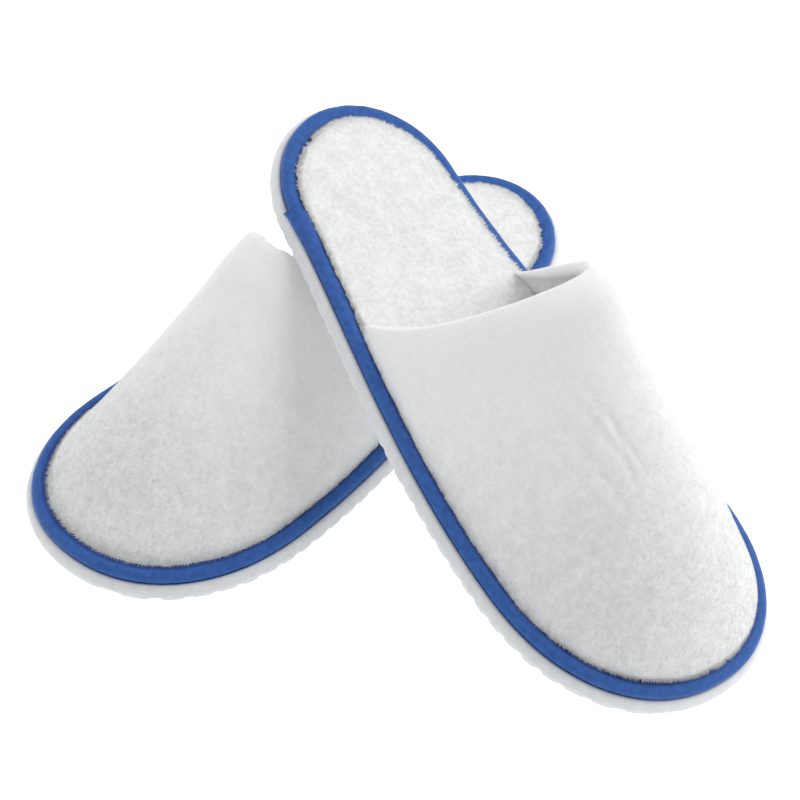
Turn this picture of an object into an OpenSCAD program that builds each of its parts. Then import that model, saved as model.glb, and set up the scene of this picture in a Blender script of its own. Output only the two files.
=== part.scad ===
// A pair of closed-toe spa slippers. The left one lies flat and the right one lies across it, with its
// toe on the floor and its heel raised over the left one's vamp. Millimetres, +Z up, and the origin at
// the middle of the left slipper's resting face, with its toe towards +Y.

/* [Outline] */
// Length of the bound footbed, from heel to toe
bed_l = 277; // [240:1:300]
// Width of the bound footbed at the heel
heel_w = 77.6; // [70:0.2:84]
// Width of the bound footbed at the ball of the foot
ball_w = 111; // [100:0.5:118]
// Where the footbed is widest, as a share of its length from the heel
ball_at = 0.77; // [0.70:0.01:0.80]
// Sideways bend of the outline at the waist, towards the outer side of the foot
bend = 6.2; // [0:0.2:8]

/* [Sole] */
// Thickness of the outsole
sole_t = 5; // [4:0.5:8]
// How far the outsole stands out past the binding
sole_flare = 2.7; // [1:0.1:4]
// Depth of the tread grooves
groove_d = 1.4; // [0.5:0.1:2]
// Width of a tread groove
groove_w = 2.6; // [1.5:0.1:4]
// Distance from one tread groove to the next
groove_pitch = 8.2; // [6:0.1:12]

/* [Footbed] */
// Thickness of the stiff board
board_t = 1; // [0.6:0.1:1.6]
// Thickness of the foam layer
foam_t = 2.4; // [1.5:0.1:3]
// Thickness of the fleece cover's cloth, under the binding
cloth_t = 0.8; // [0.5:0.1:1.2]
// Height of the fleece cover's pile above its cloth
pile_t = 1.6; // [1:0.1:3]

/* [Binding] */
// Thickness of the binding tape
tape_t = 0.6; // [0.4:0.1:1]
// Width of the tape seen on top of the footbed
tape_top = 6; // [4:0.5:8]
// Width of the tape tucked under the footbed
tape_under = 8; // [6:0.5:10]

/* [Vamp layers] */
// Thickness of the outer fleece
outer_t = 1.6; // [1:0.1:2.5]
// Thickness of the padding
padding_t = 2; // [1:0.1:3]
// Thickness of the lining
lining_t = 1; // [0.6:0.1:1.5]

/* [Left vamp] */
// Height of its crest above the footbed, at its opening
left_vamp_h = 72; // [50:0.5:80]
// How far its crest stands ahead of the ends of its opening
left_crest_lead = 54; // [20:0.5:75]
// How that lead leans: less than 0 is more on the inner side and more than 0 on the outer side
left_lead_skew = -0.54; // [-0.8:0.01:0.8]
// How its crest falls to the toe: 1 is a straight ramp and less is rounder
left_vamp_fall = 1.02; // [0.6:0.01:1.3]
// How pointed its arch is at the opening: 0.5 is a full round one and 1 is a pointed one
left_back_point = 0.92; // [0.6:0.01:1.2]
// How pointed its arch is at the toe
left_toe_point = 0.84; // [0.6:0.01:1.2]
// How far its crest leans to its inner side at the opening, as a share of half its width
left_vamp_lean = 0.33; // [0:0.01:0.4]
// Where its opening meets the binding on the inner side, as a share of the length from the heel
left_throat_inner = 0.37; // [0.30:0.005:0.42]
// Where its opening meets the binding on the outer side, as a share of the length from the heel
left_throat_outer = 0.32; // [0.30:0.005:0.42]

/* [Right vamp] */
// Height of its crest above the footbed, at its opening
right_vamp_h = 74.5; // [50:0.5:80]
// How far its crest stands ahead of the ends of its opening
right_crest_lead = 42.5; // [20:0.5:75]
// How that lead leans: less than 0 is more on the inner side and more than 0 on the outer side
right_lead_skew = -0.31; // [-0.8:0.01:0.8]
// How its crest falls to the toe: 1 is a straight ramp and less is rounder
right_vamp_fall = 0.65; // [0.6:0.01:1.3]
// How pointed its arch is at the opening: 0.5 is a full round one and 1 is a pointed one
right_back_point = 1.07; // [0.6:0.01:1.2]
// How pointed its arch is at the toe
right_toe_point = 1.12; // [0.6:0.01:1.2]
// How far its crest leans to its inner side at the opening, as a share of half its width
right_vamp_lean = 0.27; // [0:0.01:0.4]
// Where its opening meets the binding on the inner side, as a share of the length from the heel
right_throat_inner = 0.335; // [0.30:0.005:0.42]
// Where its opening meets the binding on the outer side, as a share of the length from the heel
right_throat_outer = 0.33; // [0.30:0.005:0.42]

/* [Right slipper's place] */
// Where the middle of its resting face lies
right_at = [-89.7, -6.1, 44.6];
// Turn of its toe about the vertical, from the left slipper's toe
right_yaw = 72.3; // [60:0.1:85]
// Drop of its toe
right_pitch = 17.2; // [14:0.1:20]
// Lean to its outer side
right_roll = 9.4; // [6:0.1:12]

/* [Hidden] */

outline_n = 80;     // points round the outline
gap = 0.1;          // clearance between one piece and the next
layer_gap = 0.5;   // clearance between one vamp layer and the next
edge_in = 1.2;      // the footbed's layers end this far inside the binding's outer edge
heel_cap = 0.16;    // share of the length that rounds off the heel
toe_cap = 1 - ball_at;
toe_square = 2.15;  // how square the toe is: 2 is an ellipse
waist_start = 0.12; // where the heel's straight width ends
bend_turn = 216;    // degrees of the sine that bends the outline, from heel to toe
thread_r = 0.4;     // radius of the sewing threads
toe_turn = 50;      // degrees of the outline, each way from the toe, that end the vamp
left_shape = [
    left_vamp_h, left_crest_lead, left_lead_skew, left_vamp_fall, left_back_point, left_toe_point,
    left_vamp_lean, left_throat_inner, left_throat_outer
];
right_shape = [
    right_vamp_h, right_crest_lead, right_lead_skew, right_vamp_fall, right_back_point, right_toe_point,
    right_vamp_lean, right_throat_inner, right_throat_outer
];

board_z = sole_t + tape_t;
foam_z = board_z + board_t;
cloth_z = foam_z + foam_t;
tape_z = cloth_z + cloth_t;
binding_h = tape_z + tape_t - sole_t;
vamp_edge = tape_top + gap;
padding_in = outer_t + layer_gap;
lining_in = padding_in + padding_t + layer_gap;
lining_end = lining_in + lining_t;
pile_edge = tape_top + gap;
pile_under_vamp = vamp_edge + lining_end + 3;
throat_back = min(left_throat_outer, right_throat_outer);
pile_turn_in = [throat_back - 0.06, throat_back - 0.01];

// The outline: s runs from 0 at the heel to 1 at the toe, and side is 1 or -1.
function smooth(t) = let (c = min(1, max(0, t))) c * c * (3 - 2 * c);
function width_at(s) =
    heel_w + (ball_w - heel_w) * smooth((s - waist_start) / (ball_at - waist_start));
function cap_at(s) =
    s < heel_cap ? sqrt(max(0, 1 - pow((heel_cap - s) / heel_cap, 2)))
    : s > 1 - toe_cap
        ? pow(max(0, 1 - pow((s - 1 + toe_cap) / toe_cap, toe_square)), 1 / toe_square)
    : 1;
function centre_at(s) = bend * sin(bend_turn * s);
function edge_x(s, side) = centre_at(s) + side * width_at(s) / 2 * cap_at(s);

function outline_point(a) =
    let (s = (1 - cos(a)) / 2) [edge_x(s, a < 180 ? 1 : -1), (s - 0.5) * bed_l];
outline = [for (i = [0:outline_n - 1]) outline_point(360 * (i + 0.5) / outline_n)];
function unit(v) = v / norm(v);
function outward(i) =
    let (t = outline[(i + 1) % outline_n] - outline[(i + outline_n - 1) % outline_n])
    unit([t[1], -t[0]]);
normals = [for (i = [0:outline_n - 1]) outward(i)];
function ring(inset) = [for (i = [0:outline_n - 1]) outline[i] - inset * normals[i]];

// The pile reaches the binding at the heel, and turns in to clear the vamp's layers.
function pile_in(s) =
    let (share = smooth((s - pile_turn_in[0]) / (pile_turn_in[1] - pile_turn_in[0])))
    pile_edge + (pile_under_vamp - pile_edge) * share;
pile_ring = [
    for (i = [0:outline_n - 1]) outline[i] - pile_in(outline[i][1] / bed_l + 0.5) * normals[i]
];

module layer(inset, low, high) {
    translate([0, 0, low])
        linear_extrude(high - low)
            polygon(ring(inset));
}

// A closed mesh from rows of points, each row a closed loop, joined to the next and round to the first.
module loop_mesh(rows) {
    n = len(rows);
    m = len(rows[0]);
    points = [for (r = rows) each r];
    faces = [
        for (i = [0:n - 1], j = [0:m - 1])
            let (a = i * m + j, b = i * m + (j + 1) % m)
            let (c = ((i + 1) % n) * m + (j + 1) % m, d = ((i + 1) % n) * m + j)
            each [[a, c, b], [a, d, c]]
    ];
    polyhedron(points, faces, convexity = 10);
}

// A closed mesh from rows of points, each row a closed loop of an even number of points. Its two ends are
// closed by strips that run across the loop, so that a thin curved row needs no flat end.
module strip_mesh(rows) {
    n = len(rows);
    m = len(rows[0]);
    points = [for (r = rows) each r];
    sides = [
        for (i = [0:n - 2], j = [0:m - 1])
            let (a = i * m + j, b = i * m + (j + 1) % m)
            let (c = a + m, d = b + m)
            each [[a, d, b], [a, c, d]]
    ];
    ends = [
        for (j = [0:m / 2 - 2], i = [0, n - 1])
            let (a = i * m + j, b = a + 1, c = i * m + m - 2 - j, d = c + 1)
            each (i == 0 ? [[a, c, d], [a, b, c]] : [[a, c, b], [a, d, c]])
    ];
    polyhedron(points, concat(sides, ends), convexity = 10);
}

module outsole() {
    lip = 0.8;
    groove_n = floor(bed_l / groove_pitch) - 1;
    color("whitesmoke")
        difference() {
            union() {
                layer(-sole_flare, 0, sole_t - lip);
                layer(lip - sole_flare, sole_t - lip, sole_t);
            }
            for (i = [0:groove_n - 1])
                translate([-ball_w, (i - (groove_n - 1) / 2) * groove_pitch - groove_w / 2, -1])
                    cube([2 * ball_w, groove_w, 1 + groove_d]);
        }
}

module insole_board() {
    color("tan") {
        layer(tape_under + gap, sole_t, board_z);
        layer(edge_in, board_z, foam_z);
    }
}

module footbed_foam() {
    color("ivory")
        layer(edge_in, foam_z, cloth_z);
}

module footbed_cover() {
    color("white") {
        layer(edge_in, cloth_z, tape_z);
        translate([0, 0, tape_z])
            linear_extrude(pile_t)
                polygon(pile_ring);
    }
}

// The tape's section, folded round the footbed's edge, as [inset, height] pairs.
function binding_section() =
    let (r = binding_h / 2)
    concat(
        [[tape_top, tape_z + tape_t]],
        [for (a = [90:22.5:270]) [r + r * cos(a), sole_t + r + r * sin(a)]],
        [
            [tape_under, sole_t], [tape_under, board_z - gap / 2],
            [edge_in - gap / 2, board_z - gap / 2], [edge_in - gap / 2, tape_z + gap / 2],
            [tape_top, tape_z + gap / 2]
        ]
    );

module binding() {
    section = binding_section();
    color("royalblue")
        loop_mesh([
            for (i = [0:outline_n - 1])
                [for (p = section) [each outline[i] - p[0] * normals[i], p[1]]]
        ]);
}

// The thread that sews the tape on, lying on the tape near its inner edge.
module binding_stitch() {
    inset = tape_top - 1;
    z = tape_z + tape_t + thread_r;
    color("blue")
        loop_mesh([
            for (i = [0:outline_n - 1])
                [
                    for (a = [0:60:300])
                        [
                            each outline[i] - (inset + thread_r * cos(a)) * normals[i],
                            z + thread_r * sin(a)
                        ]
                ]
        ]);
}

// A point of the outline by its turn in degrees: 0 at the heel, 180 at the toe, and back to 360.
function rim_point(turn, inset) =
    let (p = outline_point(turn - 0.5), q = outline_point(turn + 0.5), t = unit(q - p))
    (p + q) / 2 - inset * [t[1], -t[0]];
function mix(a, b, t) = a + (b - a) * t;

// Degrees of the outline, from the heel, at a share of the length.
function turn_of(s) = acos(1 - 2 * s);

// A point of a vamp, "inside" mm in from its outer face. across runs from -1 at the inner side to 1 at the
// outer side, and along runs from 0 at the opening to 1 at the toe. The plan is a patch between four edges:
// the opening, the two sides and the toe. shape is left_shape or right_shape.
function vamp_point(shape, across, along, inside) =
    let (height = shape[0], lead = shape[1], skew = shape[2], fall = shape[3])
    let (point = mix(shape[4], shape[5], along), lean = shape[6] * (1 - along))
    let (inner_turn = turn_of(shape[7]), outer_turn = turn_of(shape[8]))
    let (inset = vamp_edge + inside, share = (1 + sin(90 * across)) / 2, bulge = 1 - across * across)
    let (outer = rim_point(mix(outer_turn, 180 - toe_turn, along), inset))
    let (inner = rim_point(360 - mix(inner_turn, 180 - toe_turn, along), inset))
    let (outer_back = rim_point(outer_turn, inset), inner_back = rim_point(360 - inner_turn, inset))
    let (outer_front = rim_point(180 - toe_turn, inset), inner_front = rim_point(180 + toe_turn, inset))
    let (back = mix(inner_back, outer_back, share), front = mix(inner_front, outer_front, share))
    let (opening = back + [0, lead * bulge * (1 + skew * across)])
    let (toe = rim_point(180 - toe_turn * across, inset))
    let (plan = mix(opening, toe, along) + mix(inner, outer, share) - mix(back, front, along))
    let (rise = (height - inside) * pow(1 - along, fall))
    let (arch = pow(max(0, cos(90 * (across + lean * bulge))), point))
    [plan[0], plan[1], tape_z + gap + rise * arch];

// One layer of a vamp, between two depths from its outer face.
module vamp_layer(shape, outside, inside) {
    steps_across = 24;
    steps_along = 18;
    across = [for (j = [0:steps_across]) 2 * j / steps_across - 1];
    strip_mesh([
        for (i = [0:steps_along])
            let (along = i / steps_along)
            concat(
                [for (a = across) vamp_point(shape, a, along, outside)],
                [for (j = [steps_across:-1:0]) vamp_point(shape, across[j], along, inside)]
            )
    ]);
}

module vamp_outer(shape) {
    color("white")
        vamp_layer(shape, 0, outer_t);
}

module vamp_padding(shape) {
    color("lightyellow")
        vamp_layer(shape, padding_in, padding_in + padding_t);
}

module vamp_lining(shape) {
    color("snow")
        vamp_layer(shape, lining_in, lining_end);
}

// The thread that closes a vamp's opening, where the outer fleece turns in to the lining.
module throat_stitch(shape) {
    steps = 30;
    reach = 0.9;
    back_off = 2 * thread_r;
    color("gainsboro")
        strip_mesh([
            for (i = [0:steps])
                let (across = reach * (2 * i / steps - 1))
                let (p = vamp_point(shape, across, 0, padding_in + padding_t / 2))
                [for (a = [0:60:300]) p + [0, thread_r * cos(a) - back_off, thread_r * sin(a)]]
        ]);
}

// The slippers' places: the outline above is the right one's, and the left one mirrors it.
module left() {
    mirror([1, 0, 0])
        children();
}

module right() {
    translate(right_at)
        rotate([0, 0, right_yaw])
            rotate([-right_pitch, 0, 0])
                rotate([0, -right_roll, 0])
                    children();
}

left() outsole();  // left_outsole
left() insole_board();  // left_insole_board
left() footbed_foam();  // left_footbed_foam
left() footbed_cover();  // left_footbed_cover
left() binding();  // left_binding
left() binding_stitch();  // left_binding_stitch
left() vamp_outer(left_shape);  // left_vamp_outer
left() vamp_padding(left_shape);  // left_vamp_padding
left() vamp_lining(left_shape);  // left_vamp_lining
left() throat_stitch(left_shape);  // left_throat_stitch
right() outsole();  // right_outsole
right() insole_board();  // right_insole_board
right() footbed_foam();  // right_footbed_foam
right() footbed_cover();  // right_footbed_cover
right() binding();  // right_binding
right() binding_stitch();  // right_binding_stitch
right() vamp_outer(right_shape);  // right_vamp_outer
right() vamp_padding(right_shape);  // right_vamp_padding
right() vamp_lining(right_shape);  // right_vamp_lining
right() throat_stitch(right_shape);  // right_throat_stitch
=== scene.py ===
"""A pair of closed-toe spa slippers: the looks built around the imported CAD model.

The left slipper lies flat and the right one lies across it. Shapes are computed in millimetres in a
slipper's own frame, toe towards +Y, and then placed in the row frame in metres.
"""

import math
from collections import namedtuple

import bmesh
import bpy
import numpy as np
from mathutils import Matrix, Vector


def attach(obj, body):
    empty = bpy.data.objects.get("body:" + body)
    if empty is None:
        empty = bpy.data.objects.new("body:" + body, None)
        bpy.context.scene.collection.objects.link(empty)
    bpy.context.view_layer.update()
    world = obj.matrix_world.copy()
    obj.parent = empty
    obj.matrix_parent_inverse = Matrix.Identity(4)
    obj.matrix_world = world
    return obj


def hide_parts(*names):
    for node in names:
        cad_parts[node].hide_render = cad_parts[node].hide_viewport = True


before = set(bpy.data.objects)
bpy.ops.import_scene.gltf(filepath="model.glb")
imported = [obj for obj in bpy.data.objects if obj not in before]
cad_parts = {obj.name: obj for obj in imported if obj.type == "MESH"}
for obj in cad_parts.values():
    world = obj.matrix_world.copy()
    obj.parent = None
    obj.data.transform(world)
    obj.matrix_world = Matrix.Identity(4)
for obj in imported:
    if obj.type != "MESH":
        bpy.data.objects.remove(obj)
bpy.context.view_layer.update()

MM = 0.001

# Sizes that part.scad holds too: in millimetres and degrees, or as shares of the length.
BED_L = 277.0
HEEL_W = 77.6
BALL_W = 111.0
BALL_AT = 0.77
BEND = 6.2
BEND_TURN = 216
HEEL_CAP = 0.16
TOE_SQUARE = 2.15
WAIST_START = 0.12
GROOVE_D = 1.4
GROOVE_W = 2.6
GROOVE_PITCH = 8.2
TAPE_Z = 9.8
BED_Z = 11.4
VAMP_EDGE = 6.1
TOE_TURN = 50
RIGHT_AT = (-89.7, -6.1, 44.6)
RIGHT_YAW = 72.3
RIGHT_PITCH = 17.2
RIGHT_ROLL = 9.4

# A vamp's height, how far its crest leads and how skewed that is, how fast it falls to the toe, how pointed
# it is at the opening and at the toe, its lean, and the shares of the length where its opening meets the
# binding on the inner side and the outer side.
Vamp = namedtuple("Vamp", "height lead skew fall back_point toe_point lean inner_share outer_share")
VAMP = {
    "left": Vamp(72.0, 54.0, -0.54, 1.02, 0.92, 0.84, 0.33, 0.37, 0.32),
    "right": Vamp(74.5, 42.5, -0.31, 0.65, 1.07, 1.12, 0.27, 0.335, 0.33),
}

# Rough lengths in mm, for the scale of noise.
EDGE_RUN = 2.1  # of edge for each degree of turn
TAPE_GIRTH = 14  # of the tape's section
VAMP_RUN = 115.0  # of a vamp, from its opening to its toe


# ---------------------------------------------------------------- numbers and shapes


def smooth(t):
    """An eased step, from 0 to 1 as t goes from 0 to 1."""
    t = np.clip(t, 0, 1)
    return t * t * (3 - 2 * t)


def lattice(ix, iy, seed):
    """A fixed pseudo-random number from 0 to 1 at each whole-number point."""
    n = (ix * 374761393 + iy * 668265263 + seed * 974634777) & 0xFFFFFFFF
    n = ((n ^ (n >> 13)) * 1274126177) & 0xFFFFFFFF
    return ((n ^ (n >> 16)) & 0xFFFFFF) / 0xFFFFFF


def noise(x, y, size, seed):
    """Smooth noise from -1 to 1, its lumps about size across."""
    x, y = np.broadcast_arrays(np.asarray(x, float) / size, np.asarray(y, float) / size)
    ix, iy = np.floor(x).astype(np.int64), np.floor(y).astype(np.int64)
    fx, fy = smooth(x - ix), smooth(y - iy)
    low = lattice(ix, iy, seed) * (1 - fx) + lattice(ix + 1, iy, seed) * fx
    high = lattice(ix, iy + 1, seed) * (1 - fx) + lattice(ix + 1, iy + 1, seed) * fx
    return 2 * (low * (1 - fy) + high * fy) - 1


def share_of(turn):
    """The share of the length at a turn round the outline: 0 at the heel and 1 at the toe."""
    return (1 - np.cos(np.radians(turn))) / 2


def turn_of(share):
    """The turn on the +X side at a share of the length."""
    return np.degrees(np.arccos(1 - 2 * np.asarray(share, float)))


def outline_point(turn):
    """The bound footbed's outline: turn is 0 at the heel, 180 at the toe, and its +X side is between."""
    s = share_of(turn)
    width = HEEL_W + (BALL_W - HEEL_W) * smooth((s - WAIST_START) / (BALL_AT - WAIST_START))
    heel = np.sqrt(np.clip(1 - ((HEEL_CAP - s) / HEEL_CAP) ** 2, 0, 1))
    front = np.clip((s - BALL_AT) / (1 - BALL_AT), 0, 1) ** TOE_SQUARE
    toe = np.clip(1 - front, 0, 1) ** (1 / TOE_SQUARE)
    cap = np.where(s < HEEL_CAP, heel, toe)
    side = np.where(np.mod(turn, 360) < 180, 1, -1)
    x = BEND * np.sin(np.radians(BEND_TURN * s)) + side * width / 2 * cap
    return np.stack([x, (s - 0.5) * BED_L], -1)


def rim_normal(turn):
    """The direction out of the outline."""
    t = unit(outline_point(turn + 0.5) - outline_point(turn - 0.5))
    return np.stack([t[..., 1], -t[..., 0]], -1)


def rim_point(turn, inset):
    """A point inset from the outline, square to it."""
    turn = np.asarray(turn, float)
    middle = (outline_point(turn + 0.5) + outline_point(turn - 0.5)) / 2
    return middle - np.asarray(inset, float)[..., None] * rim_normal(turn)


def even_turns(count):
    """Turns whose outline points are evenly spaced."""
    dense = np.linspace(0, 360, 7201)
    p = outline_point(dense)
    run = np.concatenate([[0], np.cumsum(np.linalg.norm(np.diff(p, axis=0), axis=1))])
    return np.interp(np.arange(count) / count * run[-1], run, dense)


def end_shares(first, middle_n):
    """Shares of the length for rows of points, close together at the two rounded ends. A smaller first puts
    the first and last rows nearer to the ends, and middle_n is the count of rows in each half's middle."""
    ends = 0.006 * (1 - np.cos(np.linspace(first, np.pi / 2, 10)))
    middle = np.linspace(ends[-1], 0.5, middle_n)[1:]
    half = np.concatenate([ends, middle])
    return np.concatenate([half, 1 - half[-2::-1]])


def mix(a, b, t):
    """Points from a to b, at the share t."""
    return a + (b - a) * t[..., None]


def unit(vectors, least=0.0):
    """The vectors at length 1, except that those shorter than least stay short."""
    return vectors / np.maximum(np.linalg.norm(vectors, axis=-1), least)[..., None]


def vamp_point(shape, across, along, inside):
    """A point of a vamp, inside mm in from its outer face. across runs from -1 to 1 between the sides,
    and along from 0 at the opening to 1 at the toe."""
    height, lead, skew, fall, back_point, toe_point, lean, inner_share, outer_share = shape
    across, along = np.broadcast_arrays(np.asarray(across, float), np.asarray(along, float))
    inset = np.full(across.shape, VAMP_EDGE) + inside
    share = (1 + np.sin(np.pi / 2 * across)) / 2
    bulge = 1 - across**2
    outer_turn, inner_turn = turn_of(outer_share), turn_of(inner_share)
    end = 180.0 - TOE_TURN
    outer = rim_point(outer_turn + (end - outer_turn) * along, inset)
    inner = rim_point(360 - inner_turn - (end - inner_turn) * along, inset)
    flat = np.zeros(across.shape)
    outer_back, inner_back = rim_point(flat + outer_turn, inset), rim_point(flat + 360 - inner_turn, inset)
    outer_front, inner_front = rim_point(flat + end, inset), rim_point(flat + 360 - end, inset)
    back, front = mix(inner_back, outer_back, share), mix(inner_front, outer_front, share)
    opening = back + np.stack([flat, lead * bulge * (1 + skew * across)], -1)
    toe = rim_point(180 - TOE_TURN * across, inset)
    plan = mix(opening, toe, along) + mix(inner, outer, share) - mix(back, front, along)
    rise = (height - inside) * np.clip(1 - along, 0, 1) ** fall
    leant = across + lean * (1 - along) * bulge
    point = back_point + (toe_point - back_point) * along
    arch = np.clip(np.cos(np.pi / 2 * leant), 0, 1) ** point
    return np.concatenate([plan, (TAPE_Z + 0.1 + rise * arch)[..., None]], -1)


def up_normals(grid):
    """Unit normals of a grid of points, on the side that faces up at its middle."""
    n = unit(np.cross(np.gradient(grid, axis=1), np.gradient(grid, axis=0)), 1e-9)
    return n * np.sign(n[n.shape[0] // 2, n.shape[1] // 2, 2])


# ---------------------------------------------------------------- placing and mesh making

RIGHT_TURN = np.array(
    Matrix.Rotation(math.radians(RIGHT_YAW), 3, "Z")
    @ Matrix.Rotation(math.radians(-RIGHT_PITCH), 3, "X")
    @ Matrix.Rotation(math.radians(-RIGHT_ROLL), 3, "Y")
)


def place(side, points):
    """Points of a slipper's own frame, in mm, to the row frame in metres."""
    points = np.asarray(points, float)
    if side == "left":
        return points * (-MM, MM, MM)
    return (points @ RIGHT_TURN.T + RIGHT_AT) * MM


def grid_faces(rows, cols, wrap_rows=False, wrap_cols=False):
    """The quads of a grid of points, which may close on itself either way."""
    i = np.arange(rows if wrap_rows else rows - 1)[:, None]
    j = np.arange(cols if wrap_cols else cols - 1)[None, :]
    i2, j2 = (i + 1) % rows, (j + 1) % cols
    faces = np.stack([i * cols + j, i * cols + j2, i2 * cols + j2, i2 * cols + j], -1)
    return faces.reshape(-1, 4).tolist()


def end_strips(rows, cols):
    """Faces that close both end rows of a flat tube, each from one half of the row to the other."""
    faces = []
    for base in (0, (rows - 1) * cols):
        for j in range(cols // 2 - 1):
            faces.append([base + j, base + cols - 1 - j, base + cols - 2 - j, base + j + 1])
    return faces


def make_piece(name, side, points, faces, slot, replaces=()):
    """A smooth-shaded mesh of one slipper, which rides on its body. Its faces are turned outward."""
    mesh = bpy.data.meshes.new(name)
    mesh.from_pydata(place(side, points).tolist(), [], faces)
    solid = bmesh.new()
    solid.from_mesh(mesh)
    bmesh.ops.recalc_face_normals(solid, faces=solid.faces)
    solid.to_mesh(mesh)
    solid.free()
    mesh.polygons.foreach_set("use_smooth", [True] * len(mesh.polygons))
    mesh.update()
    mesh.validate()
    piece = bpy.data.objects.new(name, mesh)
    bpy.context.scene.collection.objects.link(piece)
    mesh.materials.append(MATERIALS[slot])
    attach(piece, side + "_slipper")
    if replaces:
        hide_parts(*replaces)
    return piece


def add_values(piece, name, values):
    """Give each point of a piece a value, which its material reads."""
    attribute = piece.data.attributes.new(name, "FLOAT", "POINT")
    attribute.data.foreach_set("value", np.asarray(values, np.float32).ravel())


def set_normals(piece, side, normals):
    """Give a piece its own shading normals, from the slipper's own frame."""
    turned = (place(side, unit(normals)) - place(side, np.zeros(3))) / MM
    piece.data.normals_split_custom_set_from_vertices(turned.tolist())


# ---------------------------------------------------------------- materials


def new_material(name, color, roughness):
    """A new material, its node tree and its shader."""
    m = bpy.data.materials.new(name)
    m.use_nodes = True
    shader = m.node_tree.nodes["Principled BSDF"]
    shader.inputs["Base Color"].default_value = (*color, 1)
    shader.inputs["Roughness"].default_value = roughness
    return m, m.node_tree, shader


def add_noise(tree, scale, detail=2.0, stretch=(1, 1, 1)):
    """A noise texture in the object's own coordinates. Its scale is in lumps a metre."""
    where = tree.nodes.new("ShaderNodeTexCoord")
    mapping = tree.nodes.new("ShaderNodeMapping")
    mapping.inputs["Scale"].default_value = stretch
    texture = tree.nodes.new("ShaderNodeTexNoise")
    texture.inputs["Scale"].default_value = scale
    texture.inputs["Detail"].default_value = detail
    tree.links.new(where.outputs["Object"], mapping.inputs["Vector"])
    tree.links.new(mapping.outputs["Vector"], texture.inputs["Vector"])
    return texture.outputs["Fac"]


def add_ramp(tree, value, stops):
    """A colour for each value, from stops of a value and its colour."""
    ramp = tree.nodes.new("ShaderNodeValToRGB")
    while len(ramp.color_ramp.elements) < len(stops):
        ramp.color_ramp.elements.new(0.5)
    for element, (at, color) in zip(ramp.color_ramp.elements, stops):
        element.position = at
        element.color = (*color, 1)
    tree.links.new(value, ramp.inputs["Fac"])
    return ramp.outputs["Color"]


def add_bump(tree, shader, height, distance, strength=1.0):
    """Bumps in a shader's surface, up to distance high in metres."""
    bump = tree.nodes.new("ShaderNodeBump")
    bump.inputs["Strength"].default_value = strength
    bump.inputs["Distance"].default_value = distance
    tree.links.new(height, bump.inputs["Height"])
    tree.links.new(bump.outputs["Normal"], shader.inputs["Normal"])


def add_attribute(tree, name):
    """The value that add_values gave to each point under this name."""
    node = tree.nodes.new("ShaderNodeAttribute")
    node.attribute_name = name
    return node.outputs["Fac"]


def multiply(tree, a, b):
    """The product of two colours."""
    node = tree.nodes.new("ShaderNodeMix")
    node.data_type = "RGBA"
    node.blend_type = "MULTIPLY"
    node.inputs["Factor"].default_value = 1.0
    tree.links.new(a, node.inputs[6])
    tree.links.new(b, node.inputs[7])
    return node.outputs[2]


def fleece_material():
    """White short-pile fleece: the hollows of the pile are greyer than its tips, as painted shade."""
    m, tree, shader = new_material("fleece", (0.9, 0.9, 0.9), 0.95)
    shader.inputs["Specular IOR Level"].default_value = 0.15
    shader.inputs["Sheen Weight"].default_value = 0.25
    shader.inputs["Sheen Roughness"].default_value = 0.6
    # Painted shade: a low pile value, in the hollows, at the roots and towards the toes, is greyer.
    pile = add_ramp(
        tree, add_attribute(tree, "pile"), [(0.0, (0.72, 0.725, 0.725)), (0.6, (0.87, 0.875, 0.87))]
    )
    fibres = add_ramp(
        tree, add_noise(tree, 1500, 3), [(0.3, (0.93, 0.93, 0.93)), (0.62, (1.0, 1.0, 1.0))]
    )
    tree.links.new(multiply(tree, pile, fibres), shader.inputs["Base Color"])
    add_bump(tree, shader, add_noise(tree, 1100, 4), 0.00012)
    return m


def tape_material():
    """Royal blue woven tape."""
    m, tree, shader = new_material("blue_tape", (0.02, 0.11, 0.45), 0.5)
    shader.inputs["Specular IOR Level"].default_value = 0.35
    shader.inputs["Sheen Weight"].default_value = 0.12
    shader.inputs["Sheen Roughness"].default_value = 0.4
    shader.inputs["Sheen Tint"].default_value = (0.2, 0.5, 1.0, 1)
    where = tree.nodes.new("ShaderNodeTexCoord")
    waves = []
    for direction in ("X", "Y"):
        wave = tree.nodes.new("ShaderNodeTexWave")
        wave.bands_direction = direction
        wave.inputs["Scale"].default_value = 520
        wave.inputs["Distortion"].default_value = 0.6
        wave.inputs["Detail Scale"].default_value = 200
        tree.links.new(where.outputs["Object"], wave.inputs["Vector"])
        waves.append(wave.outputs["Color"])
    weave = multiply(tree, waves[0], waves[1])
    patches = add_ramp(
        tree, add_noise(tree, 420, 5), [(0.35, (0.016, 0.095, 0.38)), (0.65, (0.026, 0.13, 0.48))]
    )
    shade = add_ramp(tree, weave, [(0.0, (0.82, 0.82, 0.82)), (0.6, (1, 1, 1))])
    # Painted shadow: the tape's inner edge on top, under the pile's edge, is darker.
    inner = add_ramp(tree, add_attribute(tree, "inner"), [(0.0, (1, 1, 1)), (1.0, (0.35, 0.4, 0.55))])
    tree.links.new(
        multiply(tree, multiply(tree, patches, shade), inner), shader.inputs["Base Color"]
    )
    add_bump(tree, shader, weave, 0.0002, 0.8)
    return m


def thread_material(name, color):
    """Sewing thread, darker between its strands, as painted shade."""
    m, tree, shader = new_material(name, color, 0.7)
    # Painted shade between the strands: 0.7 of the thread's colour.
    painted_shade = tuple(c * 0.7 for c in color)
    tree.links.new(
        add_ramp(tree, add_noise(tree, 2500, 2), [(0.35, painted_shade), (0.6, color)]),
        shader.inputs["Base Color"],
    )
    return m


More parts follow.
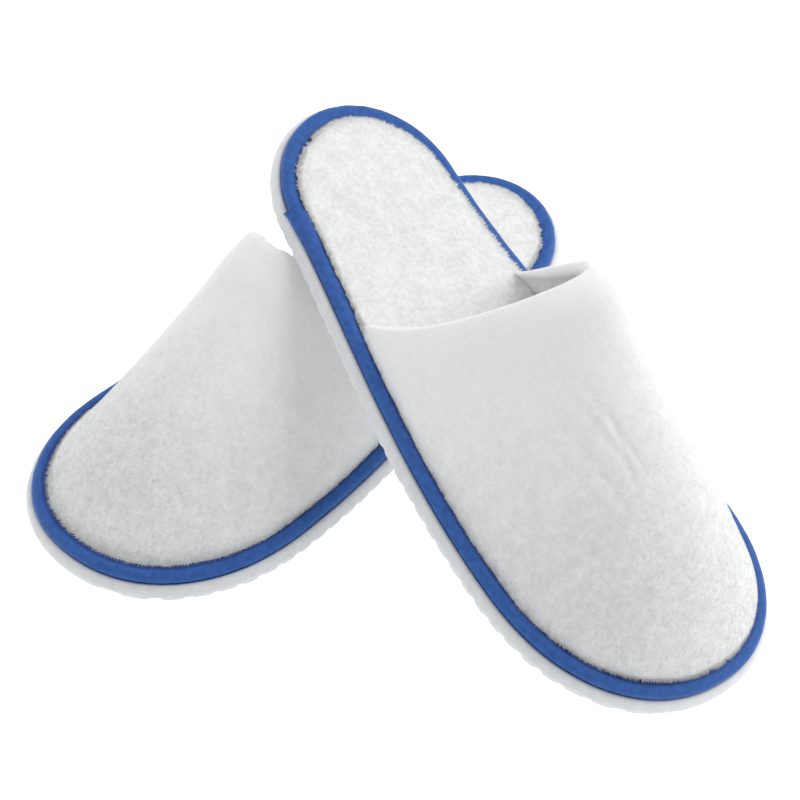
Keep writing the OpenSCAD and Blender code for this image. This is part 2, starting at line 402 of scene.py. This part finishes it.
def sole_material():
    """Matte white foamed sole, a little translucent. It is coloured light grey as painted shade on its wall.
    """
    m, tree, shader = new_material("eva_sole", (0.83, 0.84, 0.85), 0.55)
    shader.inputs["Subsurface Weight"].default_value = 0.25
    shader.inputs["Subsurface Radius"].default_value = (1, 1, 1)
    shader.inputs["Subsurface Scale"].default_value = 0.003
    # Painted shade: the white foam is given a light grey; its lumps are uneven tone of its own.
    tree.links.new(
        add_ramp(
            tree, add_noise(tree, 300, 5), [(0.3, (0.66, 0.675, 0.69)), (0.7, (0.72, 0.735, 0.75))]
        ),
        shader.inputs["Base Color"],
    )
    add_bump(tree, shader, add_noise(tree, 2200, 2), 0.0001, 0.5)
    return m


def lining_material():
    """Off-white knit. The light that comes through the vamp is a faint glow of its own."""
    m, tree, shader = new_material("lining", (0.86, 0.86, 0.85), 0.9)
    shader.inputs["Sheen Weight"].default_value = 0.15
    shader.inputs["Emission Color"].default_value = (1, 1, 1, 1)
    shader.inputs["Emission Strength"].default_value = 0.1
    tree.links.new(
        add_ramp(
            tree, add_noise(tree, 900, 3), [(0.3, (0.8, 0.8, 0.79)), (0.7, (0.89, 0.89, 0.88))]
        ),
        shader.inputs["Base Color"],
    )
    add_bump(tree, shader, add_noise(tree, 1600, 3), 0.0003, 0.6)
    return m


def foam_material():
    """Cream open-cell foam, darker in the pits of its cells as painted shade."""
    m, tree, shader = new_material("foam", (0.86, 0.85, 0.78), 0.9)
    cells = tree.nodes.new("ShaderNodeTexVoronoi")
    cells.inputs["Scale"].default_value = 900
    # Painted shade: darker near the middle of each cell, where the bump makes a pit.
    tree.links.new(
        add_ramp(
            tree, cells.outputs["Distance"], [(0.1, (0.7, 0.69, 0.62)), (0.6, (0.87, 0.86, 0.8))]
        ),
        shader.inputs["Base Color"],
    )
    add_bump(tree, shader, cells.outputs["Distance"], 0.0004)
    return m


def board_material():
    """Brown fibre board."""
    m, tree, shader = new_material("board", (0.62, 0.52, 0.38), 0.85)
    tree.links.new(
        add_ramp(
            tree,
            add_noise(tree, 500, 5, (1, 0.2, 1)),
            [(0.3, (0.5, 0.41, 0.29)), (0.7, (0.68, 0.58, 0.43))],
        ),
        shader.inputs["Base Color"],
    )
    return m


MATERIALS = {
    "fleece": fleece_material(),
    "blue_tape": tape_material(),
    "blue_thread": thread_material("blue_thread", (0.02, 0.07, 0.3)),
    "white_thread": thread_material("white_thread", (0.85, 0.85, 0.84)),
    "eva_sole": sole_material(),
    "lining": lining_material(),
    "foam": foam_material(),
    "board": board_material(),
}


# ---------------------------------------------------------------- outsole

# The wall's section, as [outset, height], from under the binding down to the resting face.
SOLE_WALL = [
    (-6, 4.95), (-1.2, 5.2), (-0.35, 6.2), (0.2, 6.45), (0.9, 6.3), (1.6, 5.8), (2.15, 5.0), (2.35, 4.2),
    (2.4, 3.9), (2.6, 3.6), (2.7, 2.9), (2.7, 1.6), (2.65, 1.0), (2.5, 0.45), (2.1, 0.12), (1.4, 0),
]
SOLE_BOTTOM_N = 22


def outsole_end(base, wall_n, cols):
    """Faces that close one end row of the outsole: strips from wall to wall, from its top to its bottom."""
    outer = [base + k for k in range(wall_n)]
    inner = [base + cols - 2 - k for k in range(wall_n)]
    strips = [[outer[k], inner[k], inner[k + 1], outer[k + 1]] for k in range(1, wall_n - 2)]
    top = [outer[0], base + cols - 1, inner[0], inner[1], outer[1]]
    bottom = [outer[-2]] + [inner[-2]] + list(range(inner[-1], outer[-1] - 1, -1))
    return strips + [top, bottom]


def outsole(side):
    """The foamed sole: a lip round the binding, a soft line round its wall, and cross grooves that notch its
    lower edge, more so at the toe."""
    turns = turn_of(end_shares(0.12, 330))
    y = outline_point(turns)[:, 1]
    phase = np.mod(y / GROOVE_PITCH, 1) - 0.5
    groove = smooth(1 - (np.abs(phase) * GROOVE_PITCH - GROOVE_W / 2 + 0.5))
    wobble = 0.12 * noise(turns, 0 * turns, 3.0, 5)
    depth = 0.35 + 0.45 * smooth((y - 20) / 60) + 0.25 * noise(y, 0 * y, 19.0, 6)
    walls = []
    for around in (turns, 360 - turns):
        wall = []
        for outset, height in SOLE_WALL:
            out = outset - 0.3 * groove * depth * smooth((2.6 - height) / 2.2) + wobble * (outset > 1)
            z = height + GROOVE_D * groove * depth * smooth((1.6 - height) / 1.2)
            wall.append(np.concatenate([rim_point(around, -out), z[:, None]], -1))
        walls.append(np.stack(wall, 1))
    outer, inner = walls
    across = np.linspace(0, 1, SOLE_BOTTOM_N + 2)[1:-1]
    across = np.broadcast_to(across, (len(turns), SOLE_BOTTOM_N))
    bottom = mix(outer[:, -1:], inner[:, -1:], across)
    middle = (outer[:, :1] + inner[:, :1]) / 2
    loop = np.concatenate([outer, bottom, inner[:, ::-1], middle], 1)
    rows, cols = loop.shape[:2]
    faces = grid_faces(rows, cols, wrap_cols=True)
    for base in (0, (rows - 1) * cols):
        faces += outsole_end(base, len(SOLE_WALL), cols)
    name = f"{side}_outsole_foam"
    return make_piece(name, side, loop.reshape(-1, 3), faces, "eva_sole", [f"{side}_outsole"])


# ---------------------------------------------------------------- binding and threads

TAPE_MIDDLE = np.array([3.1, 7.7])  # the middle of the tape's roll, as [inset, height]
TAPE_THICK = 0.55
STITCH_INSET = 5.85
STITCH_Z = 9.35
STITCH_LONG = 0.837  # a stitch's length, in degrees of turn

# How far in from the outline the footbed's pile ends: at the heel, on the inner side and on the outer
# side. The shares are where each side has blended from the heel's value to its own.
COVER_EDGE_HEEL = 8.3
COVER_EDGE_INNER = 4.9
COVER_EDGE_OUTER = 6.1
INNER_BLEND = 0.24
OUTER_BLEND = 0.1


def heel_blend(turn):
    """1 at the heel's end, falling to 0 along each side."""
    inner = np.mod(turn, 360) > 180
    return 1 - smooth(share_of(turn) / np.where(inner, INNER_BLEND, OUTER_BLEND))


def cover_edge(turn):
    """How far in from the outline the footbed's pile ends, at any turn."""
    usual = np.where(np.mod(turn, 360) > 180, COVER_EDGE_INNER, COVER_EDGE_OUTER)
    return usual + (COVER_EDGE_HEEL - usual) * heel_blend(turn)


def tape_section():
    """The rolled tape's outer section, as [inset, height], from under the footbed round to its inner
    edge on top."""
    z, rise = TAPE_MIDDLE[1], 2.7
    under = [(8.0, 5.0), (5.5, 5.0)]
    outer = [(3.0 - 3.0 * math.cos(a), z + rise * math.sin(a)) for a in np.linspace(-1.5, 1.5, 15)]
    inner = [(3.2 + 3.9 * math.sin(a), z + rise * math.cos(a)) for a in np.linspace(0.12, 1.15, 7)]
    return np.array(under + outer + inner)


def tape_band(turns, section, seed):
    """A closed band of tape along the edge: creased and puckered a little, folded in along its lower part,
    and reaching further in at the heel and the toe."""
    out = unit(section - TAPE_MIDDLE)
    run = turns[:, None] * EDGE_RUN
    girth = np.linspace(0, 1, len(section))[None, :] * TAPE_GIRTH
    creases = 0.05 * noise(run, girth * 0.3, 1.6, seed) + 0.1 * noise(run, girth * 0.4, 7, seed + 1)
    fold_at = 4.6 + 0.35 * noise(run, 0, 30, seed + 2)
    fold = -0.6 * np.exp(-(((girth - fold_at) / 0.45) ** 2))
    pucker = 0.16 * smooth((girth - 11) / 3) * noise(run, 0 * girth, 1.3, seed + 3)
    push = (creases + fold + pucker)[..., None]
    outer = section + out * push
    inner = section + out * (push - TAPE_THICK)
    loop = np.concatenate([outer, inner[:, ::-1]], 1)
    toe = smooth((np.cos(np.radians(180 - turns)) - 0.55) / 0.3)
    reach = (1.9 * heel_blend(turns) + 1.5 * toe)[:, None] * smooth((loop[..., 0] - 3.5) / 3.0)
    inset = loop[..., 0] + reach * (loop[..., 1] > TAPE_MIDDLE[1])
    height = np.maximum(loop[..., 1], 4.9)
    plan = rim_point(np.broadcast_to(turns[:, None], inset.shape), inset)
    return np.concatenate([plan, height[..., None]], -1)


def binding(side, seed):
    """The blue tape all round the footbed. Its inner edge on top is darker, as painted shadow under the
    pile's edge.
    """
    turns = even_turns(900)
    section = tape_section()
    loop = tape_band(turns, section, seed)
    faces = grid_faces(*loop.shape[:2], wrap_rows=True, wrap_cols=True)
    name = f"{side}_binding_tape"
    piece = make_piece(name, side, loop.reshape(-1, 3), faces, "blue_tape", [f"{side}_binding"])
    inset, height = np.concatenate([section, section[::-1]]).T
    # Painted shadow: the tape darkens at its inner edge on top, under the pile's edge.
    start = 5.0 - 1.3 * smooth((share_of(turns) - 0.33) / 0.02)
    painted_shade = smooth((inset[None] - start[:, None]) / 0.8)
    add_values(piece, "inner", painted_shade * (height > TAPE_MIDDLE[1]))
    return piece


def binding_lap(side, seed):
    """The tape's end, folded under at an angle and lapped over its start, on the outer side of the heel."""
    section = tape_section()[3:-2]
    out = unit(section - TAPE_MIDDLE)
    girth = np.linspace(0, 1, len(section))
    first, last = turn_of(0.137 + 0.018 * girth), turn_of(0.215)
    share = np.linspace(0, 1, 60)[:, None]
    turns = first + (last - first) * share
    lift = 0.9 * (1 - smooth((share - 0.35) / 0.65))
    lift = lift + 1.1 * np.exp(-share / 0.08) * smooth((0.5 - girth) / 0.2)
    lift = lift + 0.05 * noise(turns * EDGE_RUN, girth * TAPE_GIRTH, 3, seed)
    outer = section + out * lift[..., None]
    inner = np.broadcast_to(section - 0.2 * out, outer.shape)
    loop = np.concatenate([outer, inner[:, ::-1]], 1)
    both = np.concatenate([turns, turns[:, ::-1]], 1)
    points = np.concatenate([rim_point(both, loop[..., 0]), loop[..., 1:]], -1)
    rows, cols = points.shape[:2]
    faces = grid_faces(rows, cols, wrap_cols=True) + end_strips(rows, cols)
    return make_piece(f"{side}_binding_lap", side, points.reshape(-1, 3), faces, "blue_tape")


def dashes(name, side, starts, ends, radius, slot, replaces):
    """Short round stitches from start points to end points, each a closed spindle."""
    sides = 6
    profile = ((0.0, 0.35), (0.15, 0.9), (0.5, 1.0), (0.85, 0.9), (1.0, 0.35))
    length = np.linalg.norm(ends - starts, axis=1)[:, None]
    axis = (ends - starts) / length
    u = unit(np.cross(axis, [0, 0, 1.0]))
    v = np.cross(axis, u)
    rings = []
    for share, size in profile:
        centre = starts + axis * length * share
        for a in np.arange(sides) * 2 * math.pi / sides:
            rings.append(centre + radius * size * (u * math.cos(a) + v * math.sin(a)))
    points = np.stack(rings, 1)
    last = (len(profile) - 1) * sides
    one = grid_faces(len(profile), sides, wrap_cols=True)
    one += [list(range(sides))[::-1], list(range(last, last + sides))]
    faces = [[i * len(rings) + k for k in face] for i in range(len(starts)) for face in one]
    return make_piece(name, side, points.reshape(-1, 3), faces, slot, replaces)


def binding_stitch(side):
    """Blue stitches along the tape's inner edge."""
    turns = even_turns(240)
    line = []
    for around in (turns, turns + STITCH_LONG):
        plan = rim_point(around, np.full(len(around), STITCH_INSET))
        line.append(np.concatenate([plan, np.full((len(around), 1), STITCH_Z)], -1))
    name = f"{side}_binding_thread"
    return dashes(name, side, *line, 0.3, "blue_thread", [f"{side}_binding_stitch"])


# ---------------------------------------------------------------- pile

PILE_COUNT = 49000
PILE_WIDTH = 0.23
PILE_SUNK = 0.35


def tuft_height(x, y, seed):
    """The pile's tufts, from -1 to 1: small clumps on larger soft ones."""
    warp = 0.8 * noise(x, y, 5, seed)
    fine = noise(x + warp, y - warp, 1.25, seed + 1)
    finer = noise(x - warp, y + warp, 0.75, seed + 2)
    return 0.55 * fine + 0.3 * finer + 0.35 * noise(x, y, 4.5, seed + 3)


def pile_tufts(name, side, grid, normals, lean, length, weight, tone, upward, seed):
    """Fine closed spikes of pile on a grid of points. lean, length, weight and tone are given at each point,
    and tone is the pile value at a spike's tip. The spikes take the cloth's own normals, turned upward, so
    that they shade softly."""
    draw = np.random.default_rng(seed)
    count = PILE_COUNT
    diagonals = grid[1:, 1:] - grid[:-1, :-1], grid[1:, :-1] - grid[:-1, 1:]
    area = np.linalg.norm(np.cross(*diagonals), axis=-1) * weight[:-1, :-1]
    chance = np.cumsum(area.ravel())
    cell = np.searchsorted(chance, draw.random(count) * chance[-1])
    i, j = np.divmod(cell, grid.shape[1] - 1)
    u, v = draw.random(count)[:, None], draw.random(count)[:, None]
    p = grid[i, j] * (1 - u) * (1 - v) + grid[i + 1, j] * u * (1 - v)
    p = p + grid[i, j + 1] * (1 - u) * v + grid[i + 1, j + 1] * u * v
    n = normals[i, j]
    way = unit(0.5 * n + lean[i, j] + 0.14 * draw.normal(size=(count, 3)))
    u = unit(np.cross(way, draw.normal(size=(count, 3))))
    v = np.cross(way, u)
    size = length[i, j] * (0.6 + 0.6 * draw.random(count))
    foot = p - n * PILE_SUNK
    ring = [foot + PILE_WIDTH / 2 * (u * math.cos(a) + v * math.sin(a)) for a in np.radians([0, 120, 240])]
    points = np.stack(ring + [foot + way * size[:, None]], 1).reshape(-1, 3)
    first = np.arange(count)[:, None, None] * 4
    faces = (np.array([[0, 1, 3], [1, 2, 3], [2, 0, 3], [0, 2, 1]])[None] + first).reshape(-1, 3)
    piece = make_piece(name, side, points, faces.tolist(), "fleece")
    # Painted shade: each spike's foot is 0.2 lower in pile value, so greyer, than its tip.
    add_values(piece, "pile", np.clip(tone[i, j][:, None] + (-0.2, -0.2, -0.2, 0), 0, 1))
    set_normals(piece, side, np.repeat(n + (0, 0, upward), 4, axis=0))
    return piece


def pile_lean(normals, way, at_edge):
    """The pile leans along way, and outward at the cloth's edge."""
    out = unit(normals * (1, 1, 0), 1e-6)
    return np.array(way) * (1 - at_edge[..., None]) + 0.8 * out * at_edge[..., None]


# ---------------------------------------------------------------- footbed cover

COVER_EDGE_Z = 9.5  # where the cover's rounded edge starts
COVER_FOOT_Z = 9.05  # the cover's underside
COVER_TUCK = 12.5  # how far in the cover's edge is, under the vamp


def distance_to(points, line):
    """Distance from each point to the nearest of the line's points, in slices to save memory."""
    found = np.empty(len(points))
    for i in range(0, len(points), 4000):
        d = points[i : i + 4000, None] - line[None]
        found[i : i + 4000] = np.sqrt((d**2).sum(-1)).min(1)
    return found


def cover_side(around, s, throat, seed):
    """The cover's edge along one side: ragged in the open, and tucked in from the throat on."""
    edge = cover_edge(around)
    under = 0.35 * smooth((s - throat - 0.02) / 0.03) + 0.65 * smooth((s - throat - 0.05) / 0.05)
    ragged = 0.5 * noise(around * EDGE_RUN, 0 * around, 1.7, seed + 9)
    ragged = ragged + 0.35 * noise(around * EDGE_RUN, 0 * around, 5, seed + 19)
    return rim_point(around, edge - ragged * smooth(s / 0.012) + (COVER_TUCK - edge) * under)


def skirted(top, rows, cols, foot_z):
    """Points and faces of a grid that is closed by a skirt from its rim down to foot_z, and one face across
    the bottom."""
    index = np.arange(rows * cols).reshape(rows, cols)
    rim = np.concatenate([index[:, 0], index[-1, 1:], index[-2::-1, -1], index[0, -2:0:-1]])
    below = rows * cols + np.arange(len(rim))
    skirt = top[rim] * (1, 1, 0) + (0, 0, foot_z)
    faces = grid_faces(rows, cols)
    faces += np.stack([rim, below, np.roll(below, -1), np.roll(rim, -1)], 1).tolist()
    faces.append(below.tolist())
    return np.concatenate([top, skirt]), faces


def footbed_cover(side, seed):
    """The fleece footbed: its pile stands up a little over the binding's inner edge."""
    s = end_shares(0.1, 215)
    turns = turn_of(s)
    rows, cols = len(s), 190
    inner_side = cover_side(360 - turns, s, VAMP[side].inner_share, seed)
    outer_side = cover_side(turns, s, VAMP[side].outer_share, seed + 1)
    across = np.linspace(0, 1, cols)
    across = np.broadcast_to(0.75 * across + 0.25 * smooth(across), (rows, cols))
    flat = mix(inner_side[:, None], outer_side[:, None], across).reshape(-1, 2)
    line_turns = even_turns(600)
    from_edge = distance_to(flat, rim_point(line_turns, cover_edge(line_turns) - 0.1))
    inner = np.clip(from_edge / 2.2, 0, 1)
    round_off = np.sqrt(np.clip(1 - (1 - inner) ** 2, 0, 1))
    tuft = tuft_height(flat[:, 0], flat[:, 1], seed)
    swell = 0.35 * noise(flat[:, 0], flat[:, 1], 28, seed + 5)
    z = COVER_EDGE_Z + (BED_Z + 0.4 - COVER_EDGE_Z) * round_off
    z = z + 0.12 * tuft * (0.4 + 0.6 * inner) + swell * inner
    top = np.concatenate([flat, z[:, None]], -1)
    points, faces = skirted(top, rows, cols, COVER_FOOT_Z)
    skirt_n = len(points) - len(top)
    name = f"{side}_footbed_fleece"
    piece = make_piece(name, side, points, faces, "fleece", [f"{side}_footbed_cover"])
    # Painted shade: the pile is greyer in the hollows between the tufts.
    pile = np.clip(0.3 + 0.4 * tuft, 0, 1)
    add_values(piece, "pile", np.concatenate([pile, np.full(skirt_n, 0.4)]))
    grid = top.reshape(rows, cols, 3)
    n = up_normals(grid)
    # The rounded edge is shaded as if it faced up, so that it stays as light as the rest.
    at_edge = np.exp(-from_edge / 1.4).reshape(rows, cols)
    lit = (n + 2 * at_edge[..., None] * (0, 0, 1)).reshape(-1, 3)
    set_normals(piece, side, np.concatenate([lit, np.tile([0, 0, 1.0], (skirt_n, 1))]))
    pile_tufts(
        f"{side}_footbed_pile",
        side,
        grid,
        n,
        lean=pile_lean(n, (0.1, 0.8, 0), at_edge),
        length=0.85 + 1.1 * at_edge,
        weight=1 + 8 * at_edge,
        tone=0.35 + 0 * at_edge,
        upward=2.5,
        seed=seed + 30,
    )
    return piece


# ---------------------------------------------------------------- vamp

FLEECE_PROUD = 1.0  # how far the fleece stands out from the vamp's outer face
FLEECE_THICK = 1.2
ROLL_RADIUS = 3.2
HEM_ROWS = [-8, -15, -22, -29, -36]  # rows of the outer face that the hem inside it follows

# Where each vamp's outer fleece starts to roll over at the opening, and how far its lip curls in there and,
# beyond that, round the crest, in mm.
THROAT_START = {"left": 0.014, "right": 0.024}
LIP_DROP = {"left": 0.9, "right": 1.6}
CREST_DROP = {"left": 0.0, "right": 5.2}
CREST_AT = -0.3
CREST_WIDTH = 0.4

# Soft creases of each vamp: its start and end as [across, along], then its width and depth in mm.
CREASES = {
    "left": [
        ((0.1, 0.05), (-0.1, 0.55), 6.0, 0.7),
        ((-0.3, 0.1), (-0.35, 0.6), 5.0, 0.6),
        ((0.45, 0.1), (0.3, 0.5), 5.0, 0.5),
    ],
    "right": [
        ((0.25, 0.17), (0.08, 0.55), 1.5, 0.36),
        ((0.15, 0.22), (0.02, 0.54), 1.2, 0.3),
        ((0.34, 0.26), (0.17, 0.64), 1.5, 0.32),
        ((0.05, 0.28), (0.13, 0.6), 1.2, 0.26),
        ((0.4, 0.34), (0.28, 0.6), 1.2, 0.24),
        ((0.4, 0.03), (0.25, 0.55), 6.0, 0.8),
        ((0.7, 0.06), (0.6, 0.6), 6.0, 0.6),
    ],
}


def crease(x, y, a, b, width):
    """1 on the line from a to b, falling to 0 across its width and at its ends."""
    a, b = np.array(a, float), np.array(b, float)
    length = np.hypot(*(b - a))
    d = (b - a) / length
    along = (x - a[0]) * d[0] + (y - a[1]) * d[1]
    off = (x - a[0]) * d[1] - (y - a[1]) * d[0]
    ends = smooth(along / (0.3 * length)) * smooth((length - along) / (0.3 * length))
    return np.exp(-((off / width) ** 2)) * ends


def press_under_sole(points, clear):
    """Push points of the left slipper down where they would touch the right one's sole."""
    row = points * (-1, 1, 1)
    own = (row - RIGHT_AT) @ RIGHT_TURN
    inside = (np.abs(own[..., 1]) < BED_L / 2) & (np.abs(own[..., 0]) < BALL_W / 2)
    depth = np.where(inside, np.maximum(own[..., 2] + clear, 0), 0)
    return (row - depth[..., None] * RIGHT_TURN[:, 2]) * (-1, 1, 1), depth


def vamp_skin(side, seed, across, along):
    """The outer fleece's face, with its sag, creases, lip and tufts. Gives its points and normals, then for
    each point its tuft, its nearness to the toe and to the binding, and its place along the girth."""
    shape = VAMP[side]
    skin = vamp_point(shape, across, along, -FLEECE_PROUD)
    low = 1 - np.clip((skin[..., 2] - TAPE_Z) / 4, 0, 1)
    skin[..., 2] -= 0.9 * low
    n = up_normals(skin)
    n[0] = n[1]  # the row on the binding takes the next row's normals
    x, y, z = skin[..., 0], skin[..., 1], skin[..., 2]
    girth = np.cumsum(np.linalg.norm(np.diff(skin, axis=1, prepend=skin[:, :1]), axis=2), axis=1)
    near_toe = smooth((along - 0.1) / 0.7) * np.ones_like(x)
    at_edge = np.exp(-np.clip(z - TAPE_Z, 0, None) / 1.3)
    tuft = tuft_height(girth, y, seed)
    sag = 0.6 * noise(girth, y, 45, seed + 7) * smooth(along / 0.15) * smooth((1 - along) / 0.2)
    folds = 0
    for first, last, width, depth in CREASES[side]:
        a, b = vamp_point(shape, *first, 0)[:2], vamp_point(shape, *last, 0)[:2]
        folds = folds - depth * crease(x, y, a, b, width)
    from_throat = (along - along[-1]) * VAMP_RUN
    crest = np.exp(-(((across - CREST_AT) / CREST_WIDTH) ** 2))
    curl = np.clip(1 - from_throat / (9 + 0.5 * crest), 0, 1) ** 2
    lip = 0.4 * np.exp(-(((from_throat - 12) / 6) ** 2))
    lip = lip - (LIP_DROP[side] + CREST_DROP[side] * crest) * curl
    skin = skin + n * ((0.05 + 0.06 * near_toe) * tuft + (sag + folds + lip) * (1 - low))[..., None]
    # The edge over the binding: ragged, and further in at the toe.
    ragged = 0.5 * noise(y, 0 * y, 1.9, seed + 11) + 0.3 * noise(y, 0 * y, 6.0, seed + 12)
    over_toe = smooth((along - 0.55) / 0.3) * (1 - across**4)
    skin[..., :2] += n[..., :2] * (ragged * low**2 - 1.3 * over_toe * low)[..., None]
    if side == "left":
        skin = press_under_sole(skin, 0.5)[0]
    return skin, n, tuft, near_toe, at_edge, girth


def arc(centre, up, out, radius, angles):
    """Points round a centre, from up towards out."""
    radius = np.maximum(radius, 0.1)
    return [centre + (up * math.cos(a) + out * math.sin(a)) * radius for a in angles]


def turned_in(skin, n, across, girth, seed):
    """Rows from the opening on: the roll, the hem inside it, and the same path back on the cloth's inner
    face."""
    out = unit(skin[-1] - skin[-6])
    up = unit(n[-3] - out * (n[-3] * out).sum(axis=1)[:, None])
    soft = 1 + 0.06 * noise(girth[-1], 0, 6, seed + 8)
    slim = 0.3 + 0.7 * smooth((1 - np.abs(across[0])) / 0.2)
    depth = (ROLL_RADIUS * slim * soft)[:, None]
    centre = skin[-1] - up * depth
    turn = np.linspace(0, np.pi, 12)[1:]
    hem = [skin[k] - n[k] * 2 * depth for k in HEM_ROWS]
    hem_back = [skin[k] - n[k] * np.maximum(2 * depth - FLEECE_THICK, 0.2) for k in HEM_ROWS[::-1]]
    inside_rows = np.linspace(len(skin) - 1, 0, 18).astype(int)
    inside = [skin[k] - n[k] * FLEECE_THICK for k in inside_rows]
    inside[-1] = skin[0] - n[0] * 0.3
    rolled = arc(centre, up, out, depth, turn)
    rolled_back = arc(centre, up, out, depth - FLEECE_THICK, turn[::-1])
    return rolled + hem + hem_back + rolled_back + inside


def vamp_outer(side, seed):
    """The outer fleece: it rolls over at the opening and turns in to its hem."""
    cols, rows = 280, 285
    across = np.linspace(-1, 1, cols)[None]
    along = np.linspace(1, THROAT_START[side], rows)[:, None]
    skin, n, tuft, near_toe, at_edge, girth = vamp_skin(side, seed, across, along)
    loop = np.stack(list(skin) + turned_in(skin, n, across, girth, seed), 0)
    total = len(loop)
    faces = grid_faces(total, cols, wrap_rows=True)
    for column in (0, cols - 1):
        faces.append([i * cols + column for i in range(total)])
    name = f"{side}_vamp_fleece"
    piece = make_piece(name, side, loop.reshape(-1, 3), faces, "fleece", [f"{side}_vamp_outer"])
    # Painted shade: the pile is greyer towards the toe and in the hollows between the tufts.
    pile = np.clip(0.62 - 0.4 * near_toe + 0.35 * tuft * (0.45 + 0.55 * near_toe), 0, 1)
    add_values(piece, "pile", np.concatenate([pile.ravel(), np.full((total - rows) * cols, 0.6)]))
    weight = 0.5 + 0.7 * near_toe + 4 * at_edge
    if side == "left":
        weight = weight * (press_under_sole(skin, 2.0)[1] == 0)
    pile_tufts(
        f"{side}_vamp_pile",
        side,
        skin,
        n,
        lean=pile_lean(n, (0, 0.8, -0.3), at_edge),
        length=0.75 + 0.3 * near_toe + 0.9 * at_edge,
        weight=weight,
        # painted shade: the spikes are greyer towards the toe, except at the edge
        tone=0.8 - 0.75 * near_toe * (1 - at_edge),
        upward=0.7,
        seed=seed + 30,
    )
    return piece


def nested_sheet(name, side, outside, inside, start, slot, replaces):
    """A closed layer inside the vamp, between two depths from its outer face. It starts a little later at
    the sides."""
    cols, rows = 70, 50
    across = np.linspace(-1, 1, cols)[None]
    first = start + 0.08 * across**6
    along = first + (1 - first) * np.linspace(0, 1, rows)[:, None]
    near = vamp_point(VAMP[side], across, along, outside)
    far = vamp_point(VAMP[side], across, along, inside)
    loop = np.concatenate([near, far[:, ::-1]], 1)
    faces = grid_faces(rows, 2 * cols, wrap_cols=True) + end_strips(rows, 2 * cols)
    return make_piece(name, side, loop.reshape(-1, 3), faces, slot, replaces)


def throat_stitch(side):
    """White stitches that hold the turned-in hem to the lining."""
    across = np.linspace(-0.86, 0.86, 62)
    along, inside = np.full(len(across), 0.062), 5.4
    line = [vamp_point(VAMP[side], across + shift, along, inside) for shift in (0, 0.017)]
    return dashes(
        f"{side}_throat_thread", side, *line, 0.35, "white_thread", [f"{side}_throat_stitch"]
    )


# ---------------------------------------------------------------- the pair


def slipper(side, seed):
    """Every piece of one slipper. Gives back its three sheets: the footbed's cover, the vamp's outer fleece
    and the vamp's lining."""
    outsole(side)
    binding(side, seed)
    binding_lap(side, seed + 50)
    binding_stitch(side)
    cover = footbed_cover(side, seed + 100)
    vamp = vamp_outer(side, seed + 200)
    pad = nested_sheet(f"{side}_vamp_pad", side, 2.0, 4.2, 0.07, "foam", [f"{side}_vamp_padding"])
    knit = nested_sheet(f"{side}_vamp_knit", side, 4.4, 5.1, 0.04, "lining", [f"{side}_vamp_lining"])
    throat_stitch(side)
    return cover, vamp, knit


sheets = {"left": slipper("left", 11), "right": slipper("right", 31)}

for side, (cover, vamp, knit) in sheets.items():
    for kind, slot in (("insole_board", "board"), ("footbed_foam", "foam")):
        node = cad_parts[f"{side}_{kind}"]
        node.data.materials.clear()
        node.data.materials.append(MATERIALS[slot])


# ---------------------------------------------------------------- floor, lights and camera

PAIR_MIDDLE = Vector((-0.06, 0.02, 0.03))
AWAY = Vector((0.638, -0.770, 0.0))  # away from the camera, level
RIGHT = Vector((-0.770, -0.638, 0.0))  # to the right in the camera's view
UP = Vector((0, 0, 1))


def floor():
    """A plain white floor with a faint glow, as in a studio."""
    size = 6.0
    mesh = bpy.data.meshes.new("floor")
    corners = [(x * size, y * size, 0) for x, y in ((-1, -1), (1, -1), (1, 1), (-1, 1))]
    mesh.from_pydata(corners, [], [(0, 1, 2, 3)])
    plane = bpy.data.objects.new("floor", mesh)
    bpy.context.scene.collection.objects.link(plane)
    m, _, shader = new_material("floor", (0.9, 0.9, 0.9), 0.9)
    shader.inputs["Specular IOR Level"].default_value = 0.0
    shader.inputs["Emission Color"].default_value = (1, 1, 1, 1)
    shader.inputs["Emission Strength"].default_value = 0.5
    mesh.materials.append(m)
    plane.location.z = -0.0002


def area_light(name, offset, size, power):
    """A round soft light at an offset from the pair, aimed at it."""
    light = bpy.data.lights.new(name, "AREA")
    light.shape = "DISK"
    light.size = size
    light.energy = power
    lamp = bpy.data.objects.new(name, light)
    bpy.context.scene.collection.objects.link(lamp)
    lamp.location = PAIR_MIDDLE + offset
    lamp.rotation_mode = "QUATERNION"
    lamp.rotation_quaternion = (-offset).to_track_quat("-Z", "Y")


def studio_light():
    """Even white light from all round."""
    world = bpy.data.worlds.new("studio")
    bpy.context.scene.world = world
    world.use_nodes = True
    world.node_tree.nodes["Background"].inputs["Color"].default_value = (1, 1, 1, 1)
    world.node_tree.nodes["Background"].inputs["Strength"].default_value = 0.59


def camera(spot, look, tilt):
    """A camera at a spot that looks along look, turned by tilt degrees round that line."""
    data = bpy.data.cameras.new("camera")
    data.lens = 90
    data.sensor_width = 36
    data.clip_start = 0.05
    data.clip_end = 50
    item = bpy.data.objects.new("camera", data)
    bpy.context.scene.collection.objects.link(item)
    look, level = look.normalized(), RIGHT.normalized()
    above, turn = level.cross(look), math.radians(tilt)
    right = math.cos(turn) * level + math.sin(turn) * above
    up = -math.sin(turn) * level + math.cos(turn) * above
    item.matrix_world = Matrix([(right[k], up[k], -look[k], spot[k]) for k in range(3)] + [(0, 0, 0, 1)])
    bpy.context.scene.camera = item


floor()
area_light("key", 1.3 * RIGHT + 0.55 * AWAY + 1.2 * UP, 1.8, 23)
area_light("rim", -1.3 * RIGHT + 0.9 * AWAY + 1.1 * UP, 1.2, 9)
studio_light()
bpy.context.scene.view_settings.view_transform = "Standard"
camera(Vector((-0.3915, 0.4186, 0.6129)), Vector((0.4285, -0.5174, -0.7408)), tilt=0.61)
